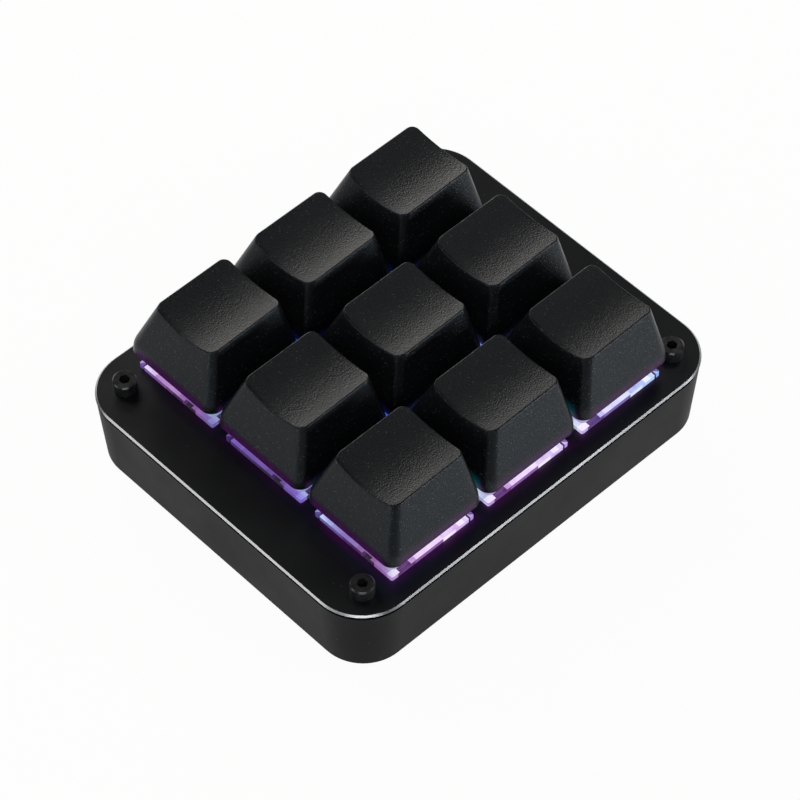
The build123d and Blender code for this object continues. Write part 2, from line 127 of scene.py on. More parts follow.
def add_grain(tree, grain_scale, cloud_scale, fleck_scale=1500.0, fleck_share=0.4):
    """The grain group placed in a material with its own scales."""
    node = tree.nodes.new("ShaderNodeGroup")
    node.node_tree = surface_grain
    node.inputs["Grain Scale"].default_value = grain_scale
    node.inputs["Cloud Scale"].default_value = cloud_scale
    node.inputs["Fleck Scale"].default_value = fleck_scale
    node.inputs["Fleck Share"].default_value = fleck_share
    return node


def vary(tree, source, low, high, target, start=0.3, stop=0.7):
    """Maps a mask from start..stop to low..high and feeds it to a float socket."""
    span = add_node(tree, "ShaderNodeMapRange", from_min=start, from_max=stop, to_min=low, to_max=high)
    tree.links.new(source, span.inputs["Value"])
    tree.links.new(span.outputs["Result"], target)


def add_ramp(tree, source, stops, interpolation="LINEAR"):
    """A colour ramp over a mask, from pairs of a position and a colour or grey level."""
    node = tree.nodes.new("ShaderNodeValToRGB")
    ramp = node.color_ramp
    ramp.interpolation = interpolation
    while len(ramp.elements) < len(stops):
        ramp.elements.new(1.0)
    for element, (position, colour) in zip(ramp.elements, stops):
        element.position = position
        element.color = (*np.broadcast_to(colour, 3), 1.0)
    tree.links.new(source, node.inputs["Fac"])
    return node.outputs["Color"]


def tint(tree, source, low, high, target, start=0.3, stop=0.7):
    """Blends two colours by a mask and feeds the result to a colour socket."""
    tree.links.new(add_ramp(tree, source, ((start, low), (stop, high))), target)


def raise_bump(tree, height, shader, distance, strength):
    """Turns a height into the shader's normal."""
    bump = add_node(tree, "ShaderNodeBump", distance=distance, strength=strength)
    tree.links.new(height, bump.inputs["Height"])
    tree.links.new(bump.outputs["Normal"], shader.inputs["Normal"])


def dress(node_name, material):
    """Gives a CAD node its finish."""
    for holder in cad_nodes[node_name].material_slots:
        holder.material = material


surface_grain = make_grain_group()

case_black, tree, shader = start_material("anodised_black")
shader.inputs["Specular IOR Level"].default_value = case_gloss
grain = add_grain(tree, blast_scale, cloud_scale=90.0, fleck_scale=anodised_fleck_scale, fleck_share=0.04)
tint(
    tree, grain.outputs["Fleck"], case_tone, anodised_fleck, shader.inputs["Base Color"], start=0.0, stop=1.0
)
vary(tree, grain.outputs["Cloud"], low=0.46, high=0.54, target=shader.inputs["Roughness"])
raise_bump(tree, grain.outputs["Height"], shader, blast_depth, strength=0.25)
dress("tray", case_black)


# Lid plate
# A flat plate of the same black anodised aluminium, stepped to drop into the tray, with a thin dark
# groove under its lip. Its top edge is chamfered after anodising, so the cut shows as a bright line
# of bare metal. A purple and blue glow from the lamps is painted on it round each switch, as emission.
row_names = ("front", "middle", "back")
column_names = ("left", "center", "right")
keys = [f"{row}_{column}" for row in row_names for column in column_names]
lid_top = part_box("lid_plate")[1].z
chamfer_depth = 0.0003
chamfer_margin = 0.00002
key_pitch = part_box("switch_base_front_right")[1].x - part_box("switch_base_front_center")[1].x
flange_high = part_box("switch_base_middle_center")[1]
flange_half = flange_high.x
flange_top = flange_high.z
outer_flange = ((0.95, 0.0), (0.985, 1.0))
lid_tone = (0.0042, 0.0046, 0.0052)
lid_gloss = 0.265
lid_gloss_tint = (0.84, 0.94, 1.0, 1.0)
cut_tones = ((0.3, (0.38, 0.38, 0.39)), (0.7, (0.53, 0.53, 0.54)))
no_light = (0.0, 0.0, 0.0)
# Painted light: the colours and strengths of a lamp glow painted on the plate round each switch.
painted_spill_reach = 0.0035
painted_purple_spill = (
    (0.0, (0.04, 0.0, 0.05)),
    (0.2, (0.02, 0.0, 0.028)),
    (0.4, (0.004, 0.0, 0.007)),
    (0.65, (0.0, 0.0008, 0.0024)),
    (1.0, 0.0),
)
painted_blue_spill = (
    (0.0, (0.014, 0.0, 0.026)),
    (0.25, (0.003, 0.001, 0.01)),
    (0.6, (0.0, 0.001, 0.003)),
    (1.0, 0.0),
)
painted_blue_spill_patches = ((0.52, 0.0), (0.62, 1.0))
painted_spill_strength = (
    (0.0, 0.05), (0.13, 0.2), (0.2, 0.15), (0.33, 0.3), (0.4, 0.8),
    (0.5, 1.0), (0.62, 0.9), (0.7, 0.5), (0.85, 0.35), (1.0, 0.2),
)


def work(tree, operation, *values):
    """The result of a Math node on values, each a number or another node's output."""
    node = add_node(tree, "ShaderNodeMath", operation=operation)
    for socket, value in zip(node.inputs, values):
        if isinstance(value, bpy.types.NodeSocket):
            tree.links.new(value, socket)
        else:
            socket.default_value = value
    return node.outputs["Value"]


def object_axes(tree):
    """The outputs X, Y and Z of a point's place on the object."""
    place = tree.nodes.new("ShaderNodeTexCoord")
    axes = tree.nodes.new("ShaderNodeSeparateXYZ")
    tree.links.new(place.outputs["Object"], axes.inputs["Vector"])
    return axes.outputs


def make_key_place_group():
    """A point's place from the middle of its nearest key, along X and along Y."""
    group, entry, result = make_group("key_place", {"Pitch": key_pitch}, ("Local X", "Local Y"))
    axes = object_axes(group)
    pitch = entry.outputs["Pitch"]
    for axis in "XY":
        count = work(group, "ROUND", work(group, "DIVIDE", axes[axis], pitch))
        nearest = work(group, "MINIMUM", work(group, "MAXIMUM", count, -1.0), 1.0)
        local = work(group, "SUBTRACT", axes[axis], work(group, "MULTIPLY", nearest, pitch))
        group.links.new(local, result.inputs[f"Local {axis}"])
    return group


def add_key_place(tree):
    """The key place group in a material."""
    node = tree.nodes.new("ShaderNodeGroup")
    node.node_tree = key_place
    return node.outputs["Local X"], node.outputs["Local Y"]


def mix_colours(tree, mask, low, high, blend_type="MIX"):
    """Blends two colours, each a colour or another node's output, by a mask or a plain share."""
    node = add_node(tree, "ShaderNodeMix", data_type="RGBA", blend_type=blend_type)
    for socket, value in zip((node.inputs[0], node.inputs[6], node.inputs[7]), (mask, low, high)):
        if isinstance(value, bpy.types.NodeSocket):
            tree.links.new(value, socket)
        elif isinstance(value, float):
            socket.default_value = value
        else:
            socket.default_value = (*value, 1.0)
    return node.outputs[2]


def grid_reach(tree, axes):
    """How far out a point lies in the key grid, from 0 in the middle to 1 at the outer flanges' edges."""
    reach = work(tree, "MAXIMUM", work(tree, "ABSOLUTE", axes["X"]), work(tree, "ABSOLUTE", axes["Y"]))
    return work(tree, "DIVIDE", reach, key_pitch + flange_half)


def outside_grid(tree, axes):
    """A mask of what lies outside the middle lines of the outer flanges, and so faces out of the key grid."""
    return add_ramp(tree, grid_reach(tree, axes), outer_flange)


def round_grid(tree, axes):
    """How far round the key grid a point lies, from 0 at the front left corner by way of either side
    to 1 at the back right one."""
    share = work(tree, "DIVIDE", work(tree, "ADD", axes["X"], axes["Y"]), 4 * (key_pitch + flange_half))
    return work(tree, "ADD", share, 0.5)


key_place = make_key_place_group()

lid_black, tree, shader = start_material("lid_black_with_bright_edge")
grain = add_grain(tree, blast_scale, cloud_scale=60.0, fleck_scale=anodised_fleck_scale, fleck_share=0.02)
axes = object_axes(tree)
below_top = work(tree, "LESS_THAN", axes["Z"], lid_top - chamfer_margin)
above_side = work(tree, "GREATER_THAN", axes["Z"], lid_top - chamfer_depth + chamfer_margin)
bare = work(tree, "MULTIPLY", below_top, above_side)
seam = work(tree, "SUBTRACT", 1.0, above_side)
shader.inputs["Specular IOR Level"].default_value = lid_gloss
shader.inputs["Specular Tint"].default_value = lid_gloss_tint
black = add_ramp(tree, grain.outputs["Fleck"], ((0.0, lid_tone), (1.0, anodised_fleck)))
cut = add_ramp(tree, grain.outputs["Cloud"], cut_tones)
tree.links.new(mix_colours(tree, bare, black, cut), shader.inputs["Base Color"])
tree.links.new(bare, shader.inputs["Metallic"])
cloudy = add_node(tree, "ShaderNodeMapRange", from_min=0.3, from_max=0.7, to_min=0.29, to_max=0.36)
tree.links.new(grain.outputs["Cloud"], cloudy.inputs["Value"])
tree.links.new(work(tree, "MAXIMUM", cloudy.outputs["Result"], seam), shader.inputs["Roughness"])
raise_bump(tree, grain.outputs["Height"], shader, blast_depth, strength=0.2)
# Painted light: the lamps' purple and blue glow, painted on the plate as emission and fading out from each
# flange.
local_x, local_y = add_key_place(tree)
beside = work(tree, "MAXIMUM", work(tree, "ABSOLUTE", local_x), work(tree, "ABSOLUTE", local_y))
spill = work(tree, "DIVIDE", work(tree, "SUBTRACT", beside, flange_half), painted_spill_reach)
drift = add_grain(tree, blast_scale, cloud_scale=38.0).outputs["Cloud"]
hue = add_ramp(tree, drift, painted_blue_spill_patches)
painted_spill = mix_colours(tree, hue, add_ramp(tree, spill, painted_purple_spill), add_ramp(tree, spill, painted_blue_spill))
painted_spill = mix_colours(tree, 1.0, painted_spill, add_ramp(tree, round_grid(tree, axes), painted_spill_strength), "MULTIPLY")
painted_spill = mix_colours(tree, outside_grid(tree, axes), no_light, painted_spill)
tree.links.new(painted_spill, shader.inputs["Emission Color"])
shader.inputs["Emission Strength"].default_value = 1.0
dress("lid_plate", lid_black)


# Lid screws
# Four small socket-head cap screws in black oxide steel, which clamp the lid to the tray's posts.
screw_tones = ((0.016, 0.0164, 0.0172), (0.032, 0.0324, 0.0332))
screw_gloss_tint = (0.86, 0.95, 1.0, 1.0)
screw_metal_share = 0.3
screw_black, tree, shader = start_material("black_oxide_steel")
grain = add_grain(tree, grain_scale=6000.0, cloud_scale=700.0)
tint(tree, grain.outputs["Cloud"], *screw_tones, shader.inputs["Base Color"])
shader.inputs["Metallic"].default_value = screw_metal_share
shader.inputs["Specular Tint"].default_value = screw_gloss_tint
vary(tree, grain.outputs["Cloud"], low=0.18, high=0.28, target=shader.inputs["Roughness"])
raise_bump(tree, grain.outputs["Height"], shader, distance=0.00002, strength=0.3)
dress("lid_screws", screw_black)


# Feet
# Four soft black rubber discs stuck under the tray.
rubber_tones = ((0.014, 0.014, 0.014), (0.024, 0.024, 0.024))
foot_rubber, tree, shader = start_material("foot_rubber")
grain = add_grain(tree, grain_scale=3000.0, cloud_scale=300.0)
tint(tree, grain.outputs["Cloud"], *rubber_tones, shader.inputs["Base Color"])
vary(tree, grain.outputs["Cloud"], low=0.7, high=0.85, target=shader.inputs["Roughness"])
raise_bump(tree, grain.outputs["Height"], shader, distance=0.00005, strength=0.4)
dress("rubber_feet", foot_rubber)


# Circuit board and the parts soldered to it
# A glass-fibre board under dark solder mask, with a plated cable socket at the back edge, a
# moulded controller, a crystal in a metal can, fired capacitors and moulded diodes.
def plain_finish(name, tones, roughness, metallic, grain_scale, cloud_scale, bump):
    """A finish whose colour and roughness each drift between two values, with a fine grain."""
    material, tree, shader = start_material(name)
    grain = add_grain(tree, grain_scale, cloud_scale)
    tint(tree, grain.outputs["Cloud"], *tones, shader.inputs["Base Color"])
    vary(tree, grain.outputs["Cloud"], *roughness, shader.inputs["Roughness"])
    shader.inputs["Metallic"].default_value = metallic
    raise_bump(tree, grain.outputs["Height"], shader, bump, strength=0.3)
    return material


board_mask = plain_finish(
    "solder_mask", tones=((0.008, 0.02, 0.014), (0.012, 0.03, 0.02)), roughness=(0.3, 0.45),
    metallic=0.0, grain_scale=2500.0, cloud_scale=200.0, bump=0.00002,
)
socket_plate = plain_finish(
    "socket_plate", tones=((0.5, 0.5, 0.5), (0.62, 0.62, 0.63)), roughness=(0.22, 0.38),
    metallic=1.0, grain_scale=4000.0, cloud_scale=600.0, bump=0.00001,
)
chip_resin = plain_finish(
    "chip_resin", tones=((0.012, 0.012, 0.012), (0.022, 0.022, 0.023)), roughness=(0.5, 0.65),
    metallic=0.0, grain_scale=5000.0, cloud_scale=500.0, bump=0.00002,
)
crystal_can = plain_finish(
    "crystal_can", tones=((0.55, 0.55, 0.55), (0.66, 0.66, 0.67)), roughness=(0.2, 0.34),
    metallic=1.0, grain_scale=4000.0, cloud_scale=900.0, bump=0.00001,
)
capacitor_body = plain_finish(
    "capacitor_body", tones=((0.3, 0.2, 0.12), (0.4, 0.28, 0.17)), roughness=(0.4, 0.55),
    metallic=0.0, grain_scale=5000.0, cloud_scale=900.0, bump=0.00001,
)
contact_brass = plain_finish(
    "contact_brass", tones=((0.62, 0.46, 0.2), (0.76, 0.58, 0.28)), roughness=(0.2, 0.35),
    metallic=1.0, grain_scale=4000.0, cloud_scale=800.0, bump=0.00001,
)
for node_name, material in (
    ("circuit_board", board_mask),
    ("usb_socket", socket_plate),
    ("controller_chip", chip_resin),
    ("key_diodes", chip_resin),
    ("clock_crystal", crystal_can),
    ("capacitors", capacitor_body),
    ("moving_contacts", contact_brass),
    ("fixed_contacts", contact_brass),
):
    dress(node_name, material)


# Key lamps
# Small lamps set into the board, one under the light window of each switch.
lamp_purple = (0.45, 0.16, 1.0)
lamp_blue = (0.2, 0.4, 1.0)
lamp_strength = 2.0
lens_tone = (0.8, 0.78, 0.85, 1.0)
lamp_lens, tree, shader = start_material("lamp_lens")
grain = add_grain(tree, grain_scale=3000.0, cloud_scale=120.0)
tint(tree, grain.outputs["Cloud"], lamp_purple, lamp_blue, shader.inputs["Emission Color"])
shader.inputs["Emission Strength"].default_value = lamp_strength
shader.inputs["Base Color"].default_value = lens_tone
vary(tree, grain.outputs["Cloud"], low=0.2, high=0.3, target=shader.inputs["Roughness"])
dress("key_lamps", lamp_lens)


# Switch bases and hoods
# Clear moulded housings, clipped together over the lid: the base hangs by its flange and the hood
# tapers up under the keycap. The light of the lamp below is painted on both as glow: on the base in
# bright and dim patches, one level for each facet and notch of the flange, with painted white
# highlights, and on the hood in purple and blue.
millimetre = 0.001
flange_margin = 0.05 * millimetre
# Painted light: the glow level given for each facet and notch along the flange, from its start in
# millimetres.
side_painted_levels = (
    (-8.1, 0.65), (-6.9, 0.22), (-3.6, 0.36), (1.9, 0.9), (4.4, 0.72), (7.0, 0.1), (7.3, 0.62),
)
side_top_painted_levels = (
    (-8.1, 0.92), (-6.6, 0.22), (-4.4, 0.7), (-3.4, 0.84), (1.9, 0.75), (5.0, 0.96), (6.2, 0.78),
    (6.85, 1.0), (7.0, 0.1), (7.3, 0.7),
)
end_painted_levels = (
    (-8.1, 0.3), (-7.3, 0.05), (-7.0, 0.42), (-2.2, 0.3), (-0.6, 0.14), (1.6, 0.3), (2.2, 0.06),
    (4.4, 0.6), (7.0, 0.7),
)
end_top_painted_levels = (
    (-8.1, 0.35), (-7.3, 0.05), (-7.0, 0.93), (-4.6, 0.82), (0.6, 0.7), (2.6, 0.6), (4.4, 0.74),
    (7.0, 0.9),
)
# Painted light: the colours of the lamp glow painted round the key grid, and the share of painted white
# highlight.
painted_lamp_tones = (
    (0.0, (0.5, 0.45, 0.9)), (0.05, (0.62, 0.4, 0.68)), (0.12, (0.55, 0.38, 0.68)),
    (0.15, (0.36, 0.5, 0.8)), (0.18, (0.34, 0.28, 0.75)), (0.28, (0.38, 0.34, 0.7)),
    (0.33, (0.4, 0.42, 0.98)), (0.36, (0.42, 0.62, 0.95)), (0.42, (0.5, 0.5, 0.8)),
    (0.46, (0.76, 0.46, 0.72)), (0.485, (0.64, 0.58, 0.78)), (0.505, (0.64, 0.54, 0.8)),
    (0.52, (0.72, 0.42, 0.8)), (0.62, (0.75, 0.5, 0.9)), (0.66, (0.55, 0.5, 0.95)),
    (0.7, (0.75, 0.45, 0.85)), (0.8, (0.7, 0.55, 0.95)), (0.86, (0.6, 0.5, 0.95)),
    (0.93, (0.5, 0.6, 1.0)), (1.0, (0.3, 0.65, 1.0)),
)
painted_inner_glow = (
    (0.3, (0.08, 0.24, 1.0)), (0.8, (0.04, 0.16, 0.7)), (0.86, (0.1, 0.4, 0.6)),
    (0.92, (0.55, 0.75, 0.85)),
)
painted_round_share = (
    (0.0, 1.0), (0.03, 0.8), (0.11, 0.74), (0.15, 0.6), (0.19, 0.58), (0.28, 0.56), (0.32, 0.68),
    (0.36, 0.78), (0.42, 0.62), (0.46, 0.66), (0.49, 0.72), (0.505, 0.88), (0.52, 1.0),
)
painted_light_share = (
    (0.0, 0.0), (0.2, (0.1, 0.03, 0.14)), (0.5, (0.46, 0.28, 0.56)), (0.8, (0.95, 0.9, 1.0)), (1.0, 1.0),
)
white_share = ((0.66, 0.0), (1.0, 0.85))
painted_highlight_white = (1.0, 0.94, 1.0)
base_tone = (0.07, 0.06, 0.08, 1.0)
painted_gap_tones = ((0.42, (0.06, 0.15, 1.0)), (0.6, (0.16, 0.12, 0.7)))
outer_wall = ((0.78, 0.0), (0.9, 1.0))
hood_tone = (0.08, 0.08, 0.11, 1.0)
painted_hood_glow_strength = 0.6


def painted_facet_level(tree, along, facets):
    """The painted light level along one side of the flange: a step at the start of each facet."""
    width = 2 * flange_half
    place = work(tree, "ADD", work(tree, "DIVIDE", along, width), 0.5)
    stops = [(start * millimetre / width + 0.5, level) for start, level in facets]
    return add_ramp(tree, place, stops, "CONSTANT")


# Painted light: the lamp's glow painted on the base as emission, in bright and dim patches, with painted
# white highlights.
base_plastic, tree, shader = start_material("switch_base_plastic")
grain = add_grain(tree, grain_scale=1500.0, cloud_scale=500.0)
axes = object_axes(tree)
local_x, local_y = add_key_place(tree)
across = work(tree, "ABSOLUTE", local_x)
on_side = work(tree, "GREATER_THAN", across, work(tree, "ABSOLUTE", local_y))
on_top = work(tree, "GREATER_THAN", axes["Z"], flange_top - flange_margin)
along_side = work(tree, "MULTIPLY", local_y, work(tree, "SIGN", local_x))
along_end = work(tree, "MULTIPLY", local_x, work(tree, "MULTIPLY", work(tree, "SIGN", local_y), -1.0))
side_level = mix_colours(
    tree, on_top, painted_facet_level(tree, along_side, side_painted_levels), painted_facet_level(tree, along_side, side_top_painted_levels)
)
end_level = mix_colours(
    tree, on_top, painted_facet_level(tree, along_end, end_painted_levels), painted_facet_level(tree, along_end, end_top_painted_levels)
)
level = mix_colours(tree, on_side, end_level, side_level)
cloudy = add_node(tree, "ShaderNodeMapRange", from_min=0.3, from_max=0.7, to_min=0.88, to_max=1.08)
tree.links.new(grain.outputs["Cloud"], cloudy.inputs["Value"])
level = work(tree, "MULTIPLY", level, add_ramp(tree, round_grid(tree, axes), painted_round_share))
lit = work(tree, "MULTIPLY", level, cloudy.outputs["Result"])
outer_tone = add_ramp(tree, round_grid(tree, axes), painted_lamp_tones)
inner_tone = add_ramp(tree, grid_reach(tree, axes), painted_inner_glow)
tone = mix_colours(tree, outside_grid(tree, axes), inner_tone, outer_tone)
dimmed = mix_colours(tree, 1.0, tone, add_ramp(tree, lit, painted_light_share), "MULTIPLY")
glow = mix_colours(tree, add_ramp(tree, lit, white_share), dimmed, painted_highlight_white)
tree.links.new(glow, shader.inputs["Emission Color"])
shader.inputs["Emission Strength"].default_value = 1.0
shader.inputs["Base Color"].default_value = base_tone
vary(tree, grain.outputs["Height"], low=0.18, high=0.3, target=shader.inputs["Roughness"])

# Painted light: a purple and blue lamp glow painted on the hood as emission.
hood_plastic, tree, shader = start_material("switch_hood_plastic")
grain = add_grain(tree, grain_scale=1500.0, cloud_scale=45.0)
axes = object_axes(tree)
painted_gap_blue = add_ramp(tree, grain.outputs["Cloud"], painted_gap_tones)
facing_out = add_ramp(tree, grid_reach(tree, axes), outer_wall)
tone = mix_colours(tree, facing_out, painted_gap_blue, add_ramp(tree, round_grid(tree, axes), painted_lamp_tones))
tree.links.new(tone, shader.inputs["Emission Color"])
shader.inputs["Emission Strength"].default_value = painted_hood_glow_strength
shader.inputs["Base Color"].default_value = hood_tone
vary(tree, grain.outputs["Height"], low=0.14, high=0.26, target=shader.inputs["Roughness"])

stem_plastic = plain_finish(
    "stem_plastic", tones=((0.42, 0.42, 0.44), (0.55, 0.55, 0.57)), roughness=(0.35, 0.5),
    metallic=0.0, grain_scale=5000.0, cloud_scale=300.0, bump=0.00001,
)
for key in keys:
    dress(f"switch_base_{key}", base_plastic)
    dress(f"switch_hood_{key}", hood_plastic)
    dress(f"stem_{key}", stem_plastic)


# Springs
# A return spring of bright round steel wire in each switch. It stands on the switch base round the
# guide tube and reaches up into the hollow stem. In the real switch it shortens as the key goes down;
# here it is built at one length and fixed to the case.
spring_turns = 8
spring_wire_radius = 0.00015
turn_steps = 32
wire_steps = 10
spring_wire = plain_finish(
    "spring_wire", tones=((0.5, 0.5, 0.5), (0.62, 0.62, 0.62)), roughness=(0.22, 0.36),
    metallic=1.0, grain_scale=6000.0, cloud_scale=900.0, bump=0.00001,
)


def ring_mesh(rings, first_pole, last_pole):
    """A closed surface: rings of points, one after another, closed by a pole point at each end."""
    count, around = rings.shape[:2]
    points = np.vstack([rings.reshape(-1, 3), [first_pole], [last_pole]])
    step = np.arange(around)
    after = (step + 1) % around
    row = np.arange(count - 1)[:, None] * around
    corners = [row + step, row + after, row + around + after, row + around + step]
    quads = np.stack(corners, axis=-1).reshape(-1, 4)
    start = np.column_stack([np.full(around, count * around), after, step])
    last_row = (count - 1) * around
    end = np.column_stack([np.full(around, count * around + 1), last_row + step, last_row + after])
    return points, quads, np.vstack([start, end])


def build_piece(name, parts, material):
    """One smooth mesh object from closed surfaces."""
    points, faces, base = [], [], 0
    for part_points, quads, triangles in parts:
        points.append(part_points)
        faces += (quads + base).tolist() + (triangles + base).tolist()
        base += len(part_points)
    mesh = bpy.data.meshes.new(name)
    mesh.from_pydata(np.vstack(points).tolist(), [], faces)
    mesh.polygons.foreach_set("use_smooth", np.ones(len(mesh.polygons), bool))
    mesh.materials.append(material)
    mesh.update()
    piece = bpy.data.objects.new(name, mesh)
    bpy.context.scene.collection.objects.link(piece)
    return piece


def coil_surface(middle, coil_radius, start, climb):
    """A round wire along a helix: circles square to a line that climbs evenly as it turns."""
    turn = np.linspace(0, 2 * np.pi * spring_turns, spring_turns * turn_steps + 1)[:, None]
    flat = np.zeros_like(turn)
    outward = np.hstack([np.cos(turn), np.sin(turn), flat])
    rise = flat + climb / (2 * np.pi * spring_turns)
    forward = np.hstack([-coil_radius * np.sin(turn), coil_radius * np.cos(turn), rise])
    forward /= np.linalg.norm(forward, axis=1)[:, None]
    across = np.cross(forward, outward)
    line = outward * coil_radius + np.hstack([flat, flat, start + rise * turn]) + (*middle, 0)
    around = np.linspace(0, 2 * np.pi, wire_steps, endpoint=False)[:, None]
    circle = np.cos(around) * outward[:, None] + np.sin(around) * across[:, None]
    return ring_mesh(line[:, None] + circle * spring_wire_radius, line[0], line[-1])


for key in keys:
    low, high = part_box(f"spring_{key}")
    middle = ((low.x + high.x) / 2, (low.y + high.y) / 2)
    length = high.z - low.z
    coil_radius = (high.x - low.x) / 2 - spring_wire_radius
    coil = coil_surface(middle, coil_radius, low.z + spring_wire_radius, length - 2 * spring_wire_radius)
    piece = build_piece(f"coil_{key}", [coil], spring_wire)
    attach(piece, "case")
    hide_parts(f"spring_{key}")
    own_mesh(piece)


# Keycaps
# Nine alike black caps, moulded in hard plastic with a leather-like grain on the dished top and a
# finer one on the sides, which stand upright at the skirt and lean in above it. Both are dotted with
# pale flecks, partly dust specks and partly painted glints. A post inside grips the cross of the
# switch stem, and a purple and teal glow from the lamps is painted on the foot of the skirt.
cap_height = 0.0097
cap_base_radius = 0.0019
cap_band = 0.0016
cap_band_draft = 0.0001
cap_band_blend = 0.0008
cap_top_width = 0.0124
cap_top_depth = 0.0135
cap_top_radius = 0.0013
cap_top_setback = 0.0012
cap_wall = 0.0009
cap_roof = 0.0015
cap_edge_round = 0.00022
cap_rim_round = 0.0002
cap_dish_depth = 0.00085
cap_dish_tilt = math.radians(1.2)
cap_dish_low = 0.00861
cap_dish_radius = ((cap_top_width / 2) ** 2 + cap_dish_depth**2) / (2 * cap_dish_depth)
cap_inner_radius = 0.001
cap_post_radius = 0.0027
cap_post_low = 0.00235
cross_half_span = 0.00205
cross_half_bar = 0.00065
cross_depth = 0.0038
inner_shares = (0, 0.02, 0.5, 0.98, 1)
rim_crease_share = 0.05
edge_passes = 8
rim_rings = 6
wall_rings = 22
edge_rings = 8
dish_rings = 20
post_steps = 96
least_slope = 1e-9
cap_tone = (0.004, 0.0048, 0.0057)
# Pale flecks in the cap's colour: partly dust specks, partly painted glints.
cap_glint_and_dust_fleck = (0.15, 0.155, 0.165)
cap_gloss = 0.225
cap_gloss_tint = (0.8, 0.91, 1.0, 1.0)
side_roughness = ((0.3, 0.27), (0.7, 0.33))
top_roughness = ((0.3, 0.34), (0.7, 0.42))
side_grain_share = 0.7
leather_share = 0.36
pebble_share = 0.46
top_glint_and_dust_share = 0.5
# Painted light: the lamp glow painted on the foot of each skirt, purple outside the key grid and teal within
# it.
painted_glow_reach_on_skirt = 0.0025
painted_skirt_glow = ((0.0, (0.034, 0.0, 0.046)), (0.35, (0.028, 0.0, 0.038)), (0.7, (0.006, 0.0, 0.009)), (1.0, 0.0))
painted_teal_glow = ((0.0, (0.0, 0.05, 0.06)), (0.6, (0.0, 0.022, 0.028)), (1.0, 0.0))
right_wall = ((0.8, 0.0), (0.9, 1.0))
skirt_corner = ((0.84, 1.0), (1.0, 0.0))


def rounded_outline(half_x, half_y, radius, arc_steps=12, run_steps=12):
    """A rounded rectangle, counter-clockwise: four quarter circles joined by straight runs."""
    corners = np.array([(1, 1), (-1, 1), (-1, -1), (1, -1)]) * (half_x - radius, half_y - radius)
    turn = np.linspace(0, np.pi / 2, arc_steps + 1)
    arcs = [
        corner + radius * np.column_stack((np.cos(turn + k * np.pi / 2), np.sin(turn + k * np.pi / 2)))
        for k, corner in enumerate(corners)
    ]
    share = np.linspace(0, 1, run_steps + 1)[1:-1, None]
    runs = [arcs[k][-1] * (1 - share) + arcs[(k + 1) % 4][0] * share for k in range(4)]
    return np.vstack([part for pair in zip(arcs, runs) for part in pair])


def dish_height(x, y):
    """The dish: a cylinder along Y, lowest on the middle line, which rises a little to the back."""
    sag = cap_dish_radius - np.sqrt(cap_dish_radius**2 - x**2)
    return cap_dish_low + (y - cap_top_setback) * math.tan(cap_dish_tilt) + sag


def lift(outline, height):
    """Points of a plan outline at one height, or at a height for each point."""
    return np.column_stack([outline, np.broadcast_to(height, len(outline))])


def wall_at(base, band, top, height):
    """The wall's plan at a height for each point: it flares a little below the band's top, follows
    a parabola round it, and runs straight from there to the top outline."""
    flare = np.clip(1 - height / cap_band, 0, 1) ** 2
    past = height - cap_band
    bend = np.clip(past + cap_band_blend, 0, 2 * cap_band_blend) ** 2 / (4 * cap_band_blend)
    lean = (bend + np.maximum(past - cap_band_blend, 0)) / (cap_height - cap_band)
    return band + (base - band) * flare[:, None] + (top - band) * lean[:, None]


